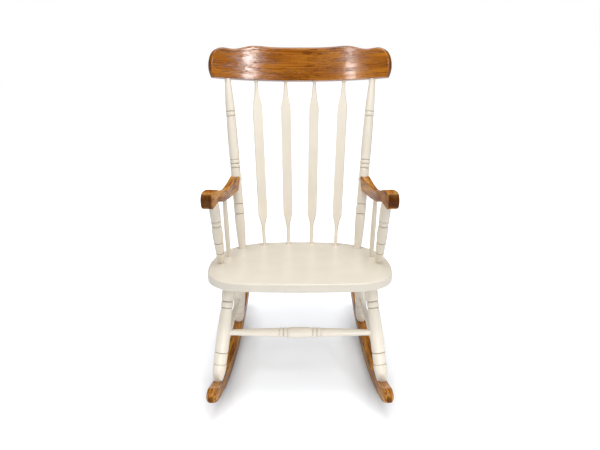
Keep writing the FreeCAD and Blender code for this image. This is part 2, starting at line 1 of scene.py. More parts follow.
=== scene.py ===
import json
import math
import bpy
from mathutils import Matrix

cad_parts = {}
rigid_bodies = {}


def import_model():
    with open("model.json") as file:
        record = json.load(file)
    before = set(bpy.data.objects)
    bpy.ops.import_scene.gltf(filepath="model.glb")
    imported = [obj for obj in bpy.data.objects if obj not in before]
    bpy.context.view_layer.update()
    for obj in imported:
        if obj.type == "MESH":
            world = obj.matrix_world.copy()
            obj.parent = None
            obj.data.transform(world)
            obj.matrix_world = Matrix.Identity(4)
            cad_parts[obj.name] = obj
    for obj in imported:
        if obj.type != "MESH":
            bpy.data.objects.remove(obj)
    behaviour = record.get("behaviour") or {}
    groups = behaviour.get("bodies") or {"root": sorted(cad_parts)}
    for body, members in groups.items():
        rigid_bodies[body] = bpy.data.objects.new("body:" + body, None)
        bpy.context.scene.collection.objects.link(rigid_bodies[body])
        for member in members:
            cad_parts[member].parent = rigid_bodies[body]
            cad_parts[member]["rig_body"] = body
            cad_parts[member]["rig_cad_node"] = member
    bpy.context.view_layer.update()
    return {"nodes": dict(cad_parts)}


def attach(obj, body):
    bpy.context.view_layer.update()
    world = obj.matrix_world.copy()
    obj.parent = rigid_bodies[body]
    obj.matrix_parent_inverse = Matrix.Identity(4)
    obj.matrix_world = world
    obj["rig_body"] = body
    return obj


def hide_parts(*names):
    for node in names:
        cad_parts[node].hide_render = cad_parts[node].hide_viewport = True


bl_info = {
    "name": "Spindle-back rocking chair",
    "version": (1, 0, 0),
    "blender": (4, 5, 0),
    "location": "View3D > Sidebar > Rocking chair",
    "description": "Paints and lacquers the pieces of a spindle-back rocking chair",
    "category": "Object",
}

from collections import namedtuple

import bpy
import numpy as np
from mathutils import Vector

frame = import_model()
nodes = frame["nodes"]

MM = 0.001
UP = Vector((0, 0, 1))

# The front stretcher, from its middle to a leg: how far out, and its radius there, in
# millimetres. A barrel, two beads between three grooves, and a long taper
STRETCHER_PROFILE = (
    (0, 16.8), (12, 16.8), (22, 16.6), (29, 16.1), (33.5, 15.2), (36.4, 14.0), (37.7, 12.8),
    (38.9, 12.8), (40.2, 14.2), (42.2, 15.4), (44.8, 15.9), (47.4, 15.4), (49.4, 14.2),
    (50.8, 12.6), (52, 12.6), (53.3, 14.0), (55.3, 15.2), (57.9, 15.7), (60.5, 15.2),
    (62.5, 14.0), (63.9, 12.5), (65.1, 12.5), (66.4, 13.4), (70, 13.8), (80, 13.7),
    (110, 12.8), (150, 11.3), (190, 9.7), (229, 8.6))
LATHE_SIDES = 48

# The rockers follow one arc over the floor, which is lowest between the left feet given here.
# Runs are horizontal, back from the front foot
ROCKER_RADIUS = 1248 * MM
ROCKER_HEIGHT = 40 * MM
ROCKER_FOOT = Vector((253.3, -308.69, 0)) * MM
ROCKER_REAR_FOOT = Vector((232.7, 176.81, 0)) * MM
ROCKER_LOW_RUN = 287 * MM

# A nose is drawn out of the cut end of its rocker in rings that shrink towards a point a
# little below the rocker's mid-height. The powers make it blunter than a half ball, and
# each ring loses some of its corners
NOSE_RUN = -93 * MM
NOSE_LENGTH = 48 * MM
NOSE_RINGS = 12
NOSE_EDGE_CUTS = 2
NOSE_HEART_HEIGHT = 0.36 * ROCKER_HEIGHT
NOSE_SIZE_POWER = 0.8
NOSE_RUN_POWER = 1.1
NOSE_CORNER_LOSS = 0.16

# Points of a CAD mesh that are one point, and the sharpest bend that is still shaded smooth
MERGE_DISTANCE = 0.005 * MM
SMOOTH_ANGLE = math.radians(40)

# The crest rail leans back with the posts and is bowed about a line in front of the sitter
BACK_RECLINE = math.radians(16.3)
CREST_BOW_RADIUS = 757 * MM
CREST_FOOT = Vector((0, 258.3, 937.4)) * MM

# Satin paint. A range of noise becomes a range of tones, which are shares of the full colour.
# The groove shade values are how open a place is where the painted shade is full, and where there
# is none
PAINT_IOR = 1.5
PAINT_DRIFT = 80 * MM
PAINT_DRIFT_NOISE = (0.3, 0.7)
PAINT_DRIFT_TONES = (0.955, 1.0)
BRUSH_NOISE = (0.25, 0.75)
BRUSH_TONES = (0.975, 1.0)
BRUSH_RELIEF = 0.25
BRUSH_DEPTH = 0.08 * MM
PAINT_GLOSS_CHANGE = 0.05
PAINT_ARRIS = 0.7 * MM
GROOVE_SHADE_REACH = 5 * MM
GROOVE_SHADE_OPENNESS = (0.45, 0.92)

# The oak's figure. Each pattern: its width across the grain and length with it in
# millimetres, how rough and how wavy it is, and from which noise it starts and is full.
# A group says where its pattern gathers. Real pores are 0.3 mm wide, and are drawn three
# times as coarse so that they show
Pattern = namedtuple("Pattern", "width length detail roughness wave start full")
OAK_PATTERNS = {
    "board": Pattern(34, 320, 3, 0.55, 0.4, 0.38, 0.62),
    "ring group": Pattern(22, 150, 3, 0.55, 0.0, 0.4, 0.6),
    "streak": Pattern(3.0, 30, 4, 0.65, 0.5, 0.5, 0.62),
    "streak group": Pattern(20, 110, 3, 0.6, 0.0, 0.38, 0.56),
    "fleck": Pattern(2.0, 15, 3, 0.6, 0.3, 0.56, 0.64),
    "fleck group": Pattern(14, 70, 3, 0.6, 0.0, 0.46, 0.6),
    "pore": Pattern(0.9, 11, 2, 0.5, 0.0, 0.55, 0.64),
    "pore group": Pattern(9, 60, 2, 0.5, 0.0, 0.42, 0.62)}
# Growth rings cut flat: bands a ring wide that wander as the trunk did
RING_LENGTH = 170 * MM
RING_WAVE = {"Scale": 0.32, "Distortion": 7.0, "Detail": 2.0, "Detail Scale": 0.7,
             "Detail Roughness": 0.6}
RING_START, RING_FULL = 0.35, 0.95
GROUPED = ("ring", "streak", "fleck", "pore")
# How much of each stain a pattern takes, in the order in which they lie: it soaks into the
# open wood of a board and a ring, and stands darker in the streaks, flecks and pores
OAK_STAINS = (
    ("board", 0.7, "dark_colour"), ("ring", 0.9, "dark_colour"),
    ("streak", 0.78, "pore_colour"), ("fleck", 0.95, "pore_colour"),
    ("pore", 0.5, "pore_colour"))
# End grain shows from this slant of the surface to the grain, and takes this much stain
END_GRAIN_SLANT = (0.55, 0.95)
END_GRAIN_STAIN = 0.85
# A pore drinks some of the lacquer, and end grain nearly all of it
PORE_THIRST = 0.3
THIRSTY_LACQUER = 0.1
OAK_ROUGHNESS = (0.42, 0.62)
OAK_RELIEF = 0.35
OAK_RELIEF_DEPTH = 0.2 * MM
OAK_ARRIS = 1.2 * MM
OAK_IOR = 1.5
LACQUER_IOR = 1.6

# Black oxide on the screws
OXIDE_MOTTLE = 1.5 * MM
OXIDE_COLOURS = ("#2E2A27", "#4B453F")
OXIDE_ROUGHNESS = (0.3, 0.5)

# The studio. The board burns out to white between these distances from the middle of the
# chair's shadow, and keeps a little of that white in the shadow. Gloss shows it a quarter as
# bright as the lens does, because the lens is set for its white
FLOOR_RADIUS = 12
FLOOR_SIDES = 96
FLOOR_LIFT = 0.3
FLOOR_ROUGHNESS = 0.9
FLOOR_GLOSS = 0.1
FLOOR_CLOSE_SHADE = 90 * MM
FLOOR_IN_GLOSS = 0.25
SHADOW_HEART = Vector((0, 0.12, 0))
SHADOW_REACH = (0.15, 1.15)
# The white cove ends a little above eye level, between these heights on the unit sky
COVE_TOP = (0.1, 0.35)
SENSOR_WIDTH = 36

# Each lamp: where it hangs, the point it faces, its width and height, the degrees over which
# it spreads, and the setting that holds its power
Lamp = namedtuple("Lamp", "place target size spread power")
LAMPS = {
    "key_strip": Lamp((1.18, -2.6, 2.72), (0, 0, 0.85), (0.3, 0.8), 180, "key_power"),
    "fill_strip": Lamp((-1.18, -2.6, 2.72), (0, 0, 0.85), (0.2, 0.8), 180, "fill_power"),
    "low_lamp": Lamp((0.15, -1.6, 0.12), (0, -0.2, 0.12), (1.0, 0.12), 30, "low_power"),
    "side_lamp": Lamp((2.2, -1.7, 1.5), (0, 0, 0.6), (0.8, 1.4), 180, "side_power"),
    "top_lamp": Lamp((0, -0.3, 3.0), (0, -0.1, 0.4), (1.8, 1.6), 180, "top_power")}

# Rays that feel for a groove or an edge at each point, enough to be smooth
HOLLOW_SAMPLES = 8
ARRIS_SAMPLES = 4

# Sockets of a Mix node go by number, because their names repeat
MIX_SHARE = 0
NUMBER_A, NUMBER_B, MIXED_NUMBER = 2, 3, 0
COLOUR_A, COLOUR_B, MIXED_COLOUR = 6, 7, 2

LENS_RAYS = ("Is Camera Ray",)
GLOSS_RAYS = ("Is Glossy Ray", "Is Transmission Ray")


def linear(hex_colour):
    """Linear red, green and blue of an sRGB hex colour."""
    shares = [int(hex_colour[i:i + 2], 16) / 255 for i in (1, 3, 5)]
    return tuple(s / 12.92 if s <= 0.04045 else ((s + 0.055) / 1.055) ** 2.4 for s in shares)


def opaque(colour):
    """A colour as a socket takes it, with full cover."""
    return (*colour, 1)


def add_node(tree, kind, inputs=None, **settings):
    """One node with its own settings, and values or links for its inputs."""
    made = tree.nodes.new(kind)
    for name, value in settings.items():
        setattr(made, name, value)
    for name, value in (inputs or {}).items():
        if isinstance(value, bpy.types.NodeSocket):
            tree.links.new(value, made.inputs[name])
        else:
            made.inputs[name].default_value = value
    return made


def long_axis(obj):
    """Middle of a piece and the direction of its length, both from its own mesh."""
    points = np.zeros(len(obj.data.vertices) * 3)
    obj.data.vertices.foreach_get("co", points)
    points = points.reshape(-1, 3)
    low, high = points.min(0), points.max(0)
    middle = (low + high) / 2
    spread = points - points.mean(0)
    direction = Vector(np.linalg.eigh(spread.T @ spread)[1][:, -1])
    return Vector(middle), direction


class PaintFinish(bpy.types.PropertyGroup):
    """Satin paint on the seat, the turned pieces and the spindles."""

    colour: bpy.props.FloatVectorProperty(
        name="Paint", description="Cream paint in full light",
        subtype="COLOR", min=0, max=1, default=linear("#F2E9D9"))
    # Painted shade: the colour that the bottom of each groove is darkened to
    groove_shade_colour: bpy.props.FloatVectorProperty(
        name="In the grooves", description="Paint that has gathered and greyed in a groove",
        subtype="COLOR", min=0, max=1, default=linear("#9C8A6B"))
    roughness: bpy.props.FloatProperty(
        name="Roughness", description="Low is glossy, high is flat", min=0, max=1, default=0.36)
    brush_width: bpy.props.FloatProperty(
        name="Brush mark", description="Width of one brush mark",
        subtype="DISTANCE", unit="LENGTH", min=0.2 * MM, max=10 * MM, default=1.4 * MM)
    brush_length: bpy.props.FloatProperty(
        name="Brush stroke", description="Length of one brush mark",
        subtype="DISTANCE", unit="LENGTH", min=5 * MM, max=500 * MM, default=90 * MM)


class OakFinish(bpy.types.PropertyGroup):
    """Stained and lacquered oak of the crest rail, the arms and the rockers."""

    light_colour: bpy.props.FloatVectorProperty(
        name="Summer wood", description="Dense wood between the pores",
        subtype="COLOR", min=0, max=1, default=linear("#BC7420"))
    # A lighter summer wood that the straight pieces (arms, rockers, pins) take instead of the crest
    # rail's
    paler_summer_colour: bpy.props.FloatVectorProperty(
        name="Worn summer wood", description="The same on the arms and rockers, rubbed lighter",
        subtype="COLOR", min=0, max=1, default=linear("#D2923C"))
    dark_colour: bpy.props.FloatVectorProperty(
        name="Spring wood", description="Open wood, where the stain soaks in",
        subtype="COLOR", min=0, max=1, default=linear("#8A4808"))
    pore_colour: bpy.props.FloatVectorProperty(
        name="Pores", description="Stain left standing in the open pores",
        subtype="COLOR", min=0, max=1, default=linear("#421D04"))
    end_colour: bpy.props.FloatVectorProperty(
        name="End grain", description="Cut ends of the fibres, which drink the most stain",
        subtype="COLOR", min=0, max=1, default=linear("#4C240C"))
    ring_width: bpy.props.FloatProperty(
        name="Ring", description="Width of one year's growth",
        subtype="DISTANCE", unit="LENGTH", min=0.5 * MM, max=20 * MM, default=9 * MM)
    lacquer: bpy.props.FloatProperty(
        name="Lacquer", description="Share of the surface under clear lacquer",
        subtype="FACTOR", min=0, max=1, default=1.0)
    worn_lacquer: bpy.props.FloatProperty(
        name="Worn lacquer", description="The same on the arms and rockers, worn by hands and feet",
        subtype="FACTOR", min=0, max=1, default=0.6)
    lacquer_roughness: bpy.props.FloatProperty(
        name="Lacquer roughness", description="Low is glossy, high is flat",
        min=0, max=1, default=0.1)


class Studio(bpy.types.PropertyGroup):
    """Floor, backdrop, lamps and the photograph's camera."""

    floor_colour: bpy.props.FloatVectorProperty(
        name="Floor", description="Matt board under the chair",
        subtype="COLOR", min=0, max=1, default=linear("#F0F4FA"))
    key_power: bpy.props.FloatProperty(
        name="Key strip", description="Tall strip lamp in front, on the sitter's left",
        unit="POWER", min=0, max=500, default=14)
    fill_power: bpy.props.FloatProperty(
        name="Fill strip", description="Tall strip lamp in front, on the sitter's right",
        unit="POWER", min=0, max=500, default=9)
    low_power: bpy.props.FloatProperty(
        name="Low lamp", description="Flat lamp near the floor, narrowed to light the legs",
        unit="POWER", min=0, max=500, default=0.4)
    side_power: bpy.props.FloatProperty(
        name="Side lamp", description="Tall lamp to the side, on the sitter's left",
        unit="POWER", min=0, max=500, default=7)
    top_power: bpy.props.FloatProperty(
        name="Top lamp", description="Wide lamp over the chair",
        unit="POWER", min=0, max=500, default=37)
    sky: bpy.props.FloatProperty(
        name="Ambient", description="Even light from all round", min=0, max=2, default=0.47)
    cove: bpy.props.FloatProperty(
        name="Cove", description="How bright gloss shows the white cove round the chair",
        min=0, max=2, default=0.12)
    ceiling: bpy.props.FloatProperty(
        name="Dim ceiling", description="How bright gloss shows the studio over the cove",
        min=0, max=2, default=0.05)
    camera_height: bpy.props.FloatProperty(
        name="Camera height", description="Height of the lens above the floor",
        subtype="DISTANCE", unit="LENGTH", min=0, max=5, default=1.125)
    camera_distance: bpy.props.FloatProperty(
        name="Camera distance", description="How far the lens is in front of the chair's middle",
        subtype="DISTANCE", unit="LENGTH", min=0.5, max=10, default=2.1372)
    camera_pitch: bpy.props.FloatProperty(
        name="Camera pitch", description="How far the lens looks down",
        subtype="ANGLE", unit="ROTATION", min=0, max=1.5, default=math.radians(16.7))
    lens: bpy.props.FloatProperty(
        name="Lens", description="Focal length on a 36 mm sensor",
        unit="CAMERA", min=10, max=200, default=39.84)


class ChairSettings(bpy.types.PropertyGroup):
    """Everything that the panel shows."""

    paint: bpy.props.PointerProperty(type=PaintFinish)
    oak: bpy.props.PointerProperty(type=OakFinish)
    studio: bpy.props.PointerProperty(type=Studio)


def new_material(name):
    """An empty material with a shader and an output, and where its pattern is read."""
    material = bpy.data.materials.new(name)
    material.use_nodes = True
    tree = material.node_tree
    tree.nodes.clear()
    shader = add_node(tree, "ShaderNodeBsdfPrincipled")
    add_node(tree, "ShaderNodeOutputMaterial", {"Surface": shader.outputs["BSDF"]})
    place = add_node(tree, "ShaderNodeTexCoord").outputs["Object"]
    return material, tree, shader, place


def satin_paint(name, finish, middle, direction):
    """Satin alkyd paint brushed on beech: an even cream, faint brush marks that run with the
    piece, and painted shade, darker and warmer, at the bottom of each turned groove."""
    material, tree, shader, place = new_material(name)
    turn = UP.rotation_difference(direction).to_euler()
    width, length = finish.brush_width, finish.brush_length
    strokes = add_node(tree, "ShaderNodeMapping", {
        "Vector": place, "Location": middle, "Rotation": turn,
        "Scale": (width, width, length)}, vector_type="TEXTURE")
    brush = add_node(tree, "ShaderNodeTexNoise", {
        "Vector": strokes.outputs["Vector"], "Scale": 1, "Detail": 3, "Roughness": 0.6})
    # Slow changes of tone, a hand's breadth across
    drift = add_node(tree, "ShaderNodeTexNoise", {
        "Vector": place, "Scale": 1 / PAINT_DRIFT, "Detail": 2})
    tone = add_node(tree, "ShaderNodeMapRange", {
        "Value": drift.outputs["Fac"],
        "From Min": PAINT_DRIFT_NOISE[0], "From Max": PAINT_DRIFT_NOISE[1],
        "To Min": PAINT_DRIFT_TONES[0], "To Max": PAINT_DRIFT_TONES[1]})
    marks = add_node(tree, "ShaderNodeMapRange", {
        "Value": brush.outputs["Fac"],
        "From Min": BRUSH_NOISE[0], "From Max": BRUSH_NOISE[1],
        "To Min": BRUSH_TONES[0], "To Max": BRUSH_TONES[1]})
    shade = add_node(tree, "ShaderNodeMath", {
        0: tone.outputs["Result"], 1: marks.outputs["Result"]}, operation="MULTIPLY")
    # Painted shade: the bottom of each groove is darkened and warmed towards the groove shade
    # colour, by how closed in it is
    groove_occlusion = add_node(tree, "ShaderNodeAmbientOcclusion", {"Distance": GROOVE_SHADE_REACH},
                      samples=HOLLOW_SAMPLES, only_local=True)
    gathered = add_node(tree, "ShaderNodeMapRange", {
        "Value": groove_occlusion.outputs["AO"], "From Min": GROOVE_SHADE_OPENNESS[0],
        "From Max": GROOVE_SHADE_OPENNESS[1], "To Min": 1.0, "To Max": 0.0})
    coat = add_node(tree, "ShaderNodeMix", {
        MIX_SHARE: gathered.outputs["Result"], COLOUR_A: opaque(finish.colour),
        COLOUR_B: opaque(finish.groove_shade_colour)}, data_type="RGBA")
    colour = add_node(tree, "ShaderNodeMix", {
        MIX_SHARE: 1.0, COLOUR_A: coat.outputs[MIXED_COLOUR], COLOUR_B: shade.outputs["Value"]},
        data_type="RGBA", blend_type="MULTIPLY")
    gloss = add_node(tree, "ShaderNodeMapRange", {
        "Value": brush.outputs["Fac"], "To Min": finish.roughness - PAINT_GLOSS_CHANGE,
        "To Max": finish.roughness + PAINT_GLOSS_CHANGE})
    arris = add_node(tree, "ShaderNodeBevel", {"Radius": PAINT_ARRIS}, samples=ARRIS_SAMPLES)
    relief = add_node(tree, "ShaderNodeBump", {
        "Height": brush.outputs["Fac"], "Strength": BRUSH_RELIEF, "Distance": BRUSH_DEPTH,
        "Normal": arris.outputs["Normal"]})
    tree.links.new(colour.outputs[MIXED_COLOUR], shader.inputs["Base Color"])
    tree.links.new(gloss.outputs["Result"], shader.inputs["Roughness"])
    tree.links.new(relief.outputs["Normal"], shader.inputs["Normal"])
    shader.inputs["IOR"].default_value = PAINT_IOR
    return material


def unrolled_board(tree, place, middle):
    """The crest rail's own coordinates: set upright, then rolled out flat, with the grain
    along Z as in a straight piece."""
    leaned = add_node(tree, "ShaderNodeMapping", {
        "Vector": place, "Location": middle, "Rotation": (-BACK_RECLINE, 0, 0)},
        vector_type="TEXTURE")
    parts = add_node(tree, "ShaderNodeSeparateXYZ", {"Vector": leaned.outputs["Vector"]})
    depth = add_node(tree, "ShaderNodeMath", {
        0: parts.outputs["Y"], 1: CREST_BOW_RADIUS}, operation="ADD")
    angle = add_node(tree, "ShaderNodeMath", {
        0: parts.outputs["X"], 1: depth.outputs["Value"]}, operation="ARCTAN2")
    run = add_node(tree, "ShaderNodeMath", {
        0: angle.outputs["Value"], 1: CREST_BOW_RADIUS}, operation="MULTIPLY")
    flat = add_node(tree, "ShaderNodeCombineXYZ", {
        "X": parts.outputs["X"], "Y": depth.outputs["Value"]})
    radius = add_node(tree, "ShaderNodeVectorMath", {0: flat.outputs["Vector"]},
                      operation="LENGTH")
    return add_node(tree, "ShaderNodeCombineXYZ", {
        "X": parts.outputs["Z"], "Y": radius.outputs["Value"],
        "Z": run.outputs["Value"]}).outputs["Vector"]


def oak_figure(tree, space, middle, turn, ring_width):
    """How strongly each pattern of the oak shows at a place, from 0 to 1, by its name."""
    grain, limits = {}, {"ring": (RING_START, RING_FULL)}
    for name, pattern in OAK_PATTERNS.items():
        spots = add_node(tree, "ShaderNodeMapping", {
            "Vector": space, "Location": middle, "Rotation": turn,
            "Scale": (pattern.width * MM, pattern.width * MM, pattern.length * MM)},
            vector_type="TEXTURE")
        grain[name] = add_node(tree, "ShaderNodeTexNoise", {
            "Vector": spots.outputs["Vector"], "Scale": 1, "Detail": pattern.detail,
            "Roughness": pattern.roughness, "Distortion": pattern.wave}).outputs["Fac"]
        limits[name] = (pattern.start, pattern.full)
    trunk = add_node(tree, "ShaderNodeMapping", {
        "Vector": space, "Location": middle, "Rotation": turn,
        "Scale": (ring_width, ring_width, RING_LENGTH)}, vector_type="TEXTURE")
    grain["ring"] = add_node(
        tree, "ShaderNodeTexWave", {"Vector": trunk.outputs["Vector"], **RING_WAVE},
        wave_type="BANDS", bands_direction="X", wave_profile="SIN").outputs["Fac"]
    for name, (start, full) in limits.items():
        grain[name] = add_node(tree, "ShaderNodeMapRange", {
            "Value": grain[name], "From Min": start, "From Max": full},
            interpolation_type="SMOOTHSTEP").outputs["Result"]
    for name in GROUPED:
        grain[name] = add_node(tree, "ShaderNodeMath", {
            0: grain[name], 1: grain[name + " group"]}, operation="MULTIPLY").outputs["Value"]
    return grain


def lacquered_oak(name, finish, middle, direction, bowed=False):
    """Stained oak under clear lacquer: long dark streaks, open pores in short dashes, and a
    gloss that the pores break up. The grain runs with the piece, and round a bent one."""
    material, tree, shader, place = new_material(name)
    if bowed:
        grain = oak_figure(tree, unrolled_board(tree, place, middle), Vector(), Vector(),
                           finish.ring_width)
    else:
        grain = oak_figure(tree, place, middle, UP.rotation_difference(direction).to_euler(),
                           finish.ring_width)
    # Straight pieces start from the lighter summer wood, the bowed crest rail from its own
    colour = opaque(finish.light_colour if bowed else finish.paler_summer_colour)
    for pattern, amount, stain in OAK_STAINS:
        depth = add_node(tree, "ShaderNodeMath", {0: grain[pattern], 1: amount},
                         operation="MULTIPLY")
        colour = add_node(tree, "ShaderNodeMix", {
            MIX_SHARE: depth.outputs["Value"], COLOUR_A: colour,
            COLOUR_B: opaque(getattr(finish, stain))}, data_type="RGBA").outputs[MIXED_COLOUR]
    facing = add_node(tree, "ShaderNodeTexCoord").outputs["Normal"]
    along = add_node(tree, "ShaderNodeVectorMath", {0: facing, 1: direction},
                     operation="DOT_PRODUCT")
    ends = add_node(tree, "ShaderNodeMath", {0: along.outputs["Value"]}, operation="ABSOLUTE")
    end_grain = add_node(tree, "ShaderNodeMapRange", {
        "Value": ends.outputs["Value"], "From Min": END_GRAIN_SLANT[0],
        "From Max": END_GRAIN_SLANT[1], "To Max": END_GRAIN_STAIN},
        interpolation_type="SMOOTHSTEP")
    colour = add_node(tree, "ShaderNodeMix", {
        MIX_SHARE: end_grain.outputs["Result"], COLOUR_A: colour,
        COLOUR_B: opaque(finish.end_colour)}, data_type="RGBA").outputs[MIXED_COLOUR]
    sunk = add_node(tree, "ShaderNodeMath", {0: grain["pore"], 1: grain["streak"]},
                    operation="MAXIMUM")
    gloss = add_node(tree, "ShaderNodeMapRange", {
        "Value": sunk.outputs["Value"], "To Min": OAK_ROUGHNESS[0], "To Max": OAK_ROUGHNESS[1]})
    thirsty_pores = add_node(tree, "ShaderNodeMath", {
        0: grain["pore"], 1: PORE_THIRST}, operation="MULTIPLY")
    thirsty = add_node(tree, "ShaderNodeMath", {
        0: thirsty_pores.outputs["Value"], 1: end_grain.outputs["Result"]}, operation="MAXIMUM")
    lacquer = add_node(tree, "ShaderNodeMapRange", {
        "Value": thirsty.outputs["Value"], "To Max": THIRSTY_LACQUER,
        "To Min": finish.lacquer if bowed else finish.worn_lacquer})
    arris = add_node(tree, "ShaderNodeBevel", {"Radius": OAK_ARRIS}, samples=ARRIS_SAMPLES)
    relief = add_node(tree, "ShaderNodeBump", {
        "Height": sunk.outputs["Value"], "Strength": OAK_RELIEF, "Distance": OAK_RELIEF_DEPTH,
        "Normal": arris.outputs["Normal"]}, invert=True)
    tree.links.new(colour, shader.inputs["Base Color"])
    tree.links.new(gloss.outputs["Result"], shader.inputs["Roughness"])
    tree.links.new(relief.outputs["Normal"], shader.inputs["Normal"])
    tree.links.new(relief.outputs["Normal"], shader.inputs["Coat Normal"])
    tree.links.new(lacquer.outputs["Result"], shader.inputs["Coat Weight"])
    shader.inputs["IOR"].default_value = OAK_IOR
    # Lacquer has wetted the wood, so that only the lacquer's own surface shines
    shader.inputs["Specular IOR Level"].default_value = 0.0
    shader.inputs["Coat IOR"].default_value = LACQUER_IOR
    shader.inputs["Coat Roughness"].default_value = finish.lacquer_roughness
    return material


def black_oxide_steel():
    """Steel screws with a black-oxide skin: dark, slightly mottled, dull metal."""
    material, tree, shader, place = new_material("black_oxide_steel")
    mottle = add_node(tree, "ShaderNodeTexNoise", {
        "Vector": place, "Scale": 1 / OXIDE_MOTTLE, "Detail": 3})
    gloss = add_node(tree, "ShaderNodeMapRange", {
        "Value": mottle.outputs["Fac"], "To Min": OXIDE_ROUGHNESS[0],
        "To Max": OXIDE_ROUGHNESS[1]})
    dark, light = OXIDE_COLOURS
    skin = add_node(tree, "ShaderNodeMix", {
        MIX_SHARE: mottle.outputs["Fac"], COLOUR_A: opaque(linear(dark)),
        COLOUR_B: opaque(linear(light))}, data_type="RGBA")
    tree.links.new(skin.outputs[MIXED_COLOUR], shader.inputs["Base Color"])
    tree.links.new(gloss.outputs["Result"], shader.inputs["Roughness"])
    shader.inputs["Metallic"].default_value = 1
    return material


def seen_ray(tree, kinds):
    """1 for a ray of these kinds, and 0 for light that falls on the chair."""
    ray = add_node(tree, "ShaderNodeLightPath")
    seen = 0.0
    for kind in kinds:
        seen = add_node(tree, "ShaderNodeMath", {0: seen, 1: ray.outputs[kind]},
                        operation="MAXIMUM").outputs["Value"]
    return seen


def matt_board(colour):
    """Matt white card of the studio floor. Near the chair it is lit mostly by the lamps, so
    it shows the chair's shadow, and further off it burns out to plain white."""
    material, tree, shader, place = new_material("matt_studio_board")
    # The rockers stand so close over the board that they keep light off it on both sides
    close = add_node(tree, "ShaderNodeAmbientOcclusion", {
        "Color": opaque(colour), "Distance": FLOOR_CLOSE_SHADE}, samples=HOLLOW_SAMPLES)
    away = add_node(tree, "ShaderNodeVectorMath", {0: place, 1: SHADOW_HEART},
                    operation="DISTANCE")
    burn = add_node(tree, "ShaderNodeMapRange", {
        "Value": away.outputs["Value"], "From Min": SHADOW_REACH[0],
        "From Max": SHADOW_REACH[1], "To Min": FLOOR_LIFT, "To Max": 1},
        interpolation_type="SMOOTHSTEP")
    glossy = add_node(tree, "ShaderNodeMath", {
        0: seen_ray(tree, GLOSS_RAYS), 1: FLOOR_IN_GLOSS}, operation="MULTIPLY")
    share = add_node(tree, "ShaderNodeMath", {
        0: seen_ray(tree, LENS_RAYS), 1: glossy.outputs["Value"]}, operation="MAXIMUM")
    white = add_node(tree, "ShaderNodeMath", {
        0: share.outputs["Value"], 1: burn.outputs["Result"]}, operation="MULTIPLY")
    lift = add_node(tree, "ShaderNodeMath", {
        0: white.outputs["Value"], 1: close.outputs["AO"]}, operation="MULTIPLY")
    tree.links.new(close.outputs["Color"], shader.inputs["Base Color"])
    tree.links.new(lift.outputs["Value"], shader.inputs["Emission Strength"])
    shader.inputs["Emission Color"].default_value = opaque((1, 1, 1))
    shader.inputs["Roughness"].default_value = FLOOR_ROUGHNESS
    shader.inputs["Specular IOR Level"].default_value = FLOOR_GLOSS
    return material


def dress(name, material):
    """Give a CAD node its finish."""
    nodes[name].material_slots[0].material = material


def paint_piece(name, finish):
    dress(name, satin_paint("satin_paint_" + name, finish, *long_axis(nodes[name])))


def oak_piece(name, finish):
    dress(name, lacquered_oak("lacquered_oak_" + name, finish, *long_axis(nodes[name])))


def copy_of(context, name, piece_name):
    """A copy of a CAD node, merged so that it can be shaped further."""
    bpy.ops.object.select_all(action="DESELECT")
    nodes[name].select_set(True)
    context.view_layer.objects.active = nodes[name]
    bpy.ops.object.duplicate()
    piece = context.object
    piece.name = piece_name
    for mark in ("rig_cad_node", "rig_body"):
        if mark in piece:
            del piece[mark]
    bpy.ops.object.mode_set(mode="EDIT")
    bpy.ops.mesh.select_mode(type="VERT")
    bpy.ops.mesh.select_all(action="SELECT")
    bpy.ops.mesh.remove_doubles(threshold=MERGE_DISTANCE)
    bpy.ops.object.mode_set(mode="OBJECT")
    return piece


def lathe(context, piece_name, middle, along, profile):
    """A turned piece that is alike both ways from its middle: a disc drawn out along its axis,
    wider and narrower."""
    rings = [(-run, radius) for run, radius in reversed(profile[1:])] + list(profile)
    first_run, first_radius = rings[0]
    bpy.ops.object.select_all(action="DESELECT")
    bpy.ops.mesh.primitive_circle_add(
        vertices=LATHE_SIDES, radius=first_radius * MM, fill_type="NGON",
        location=middle + along * first_run * MM,
        rotation=UP.rotation_difference(along).to_euler())
    piece = context.object
    piece.name = piece_name
    bpy.ops.object.transform_apply(location=True, rotation=True, scale=True)
    bpy.ops.object.mode_set(mode="EDIT")
    bpy.ops.mesh.select_all(action="SELECT")
    for (run, radius), (next_run, next_radius) in zip(rings, rings[1:]):
        bpy.ops.mesh.extrude_region_move(
            TRANSFORM_OT_translate={"value": along * (next_run - run) * MM})
        bpy.ops.transform.resize(value=(next_radius / radius,) * 3,
                                 center_override=middle + along * next_run * MM)
    bpy.ops.mesh.select_all(action="SELECT")
    bpy.ops.mesh.normals_make_consistent(inside=False)
    bpy.ops.object.mode_set(mode="OBJECT")
    return piece


def nose_root(side):
    """Where a rocker's nose starts, and which way it points, on the left (1) or right (-1)."""
    mirror = Vector((side, 1, 1))
    ahead = ((ROCKER_FOOT - ROCKER_REAR_FOOT) * mirror).normalized()
    lean = math.asin((NOSE_RUN - ROCKER_LOW_RUN) / ROCKER_RADIUS)
    outward = ahead * math.cos(lean) - UP * math.sin(lean)
    reach = ROCKER_RADIUS - NOSE_HEART_HEIGHT
    heart = (ROCKER_FOOT * mirror - ahead * (ROCKER_LOW_RUN + reach * math.sin(lean))
             + UP * (ROCKER_RADIUS - reach * math.cos(lean)))
    return heart, outward


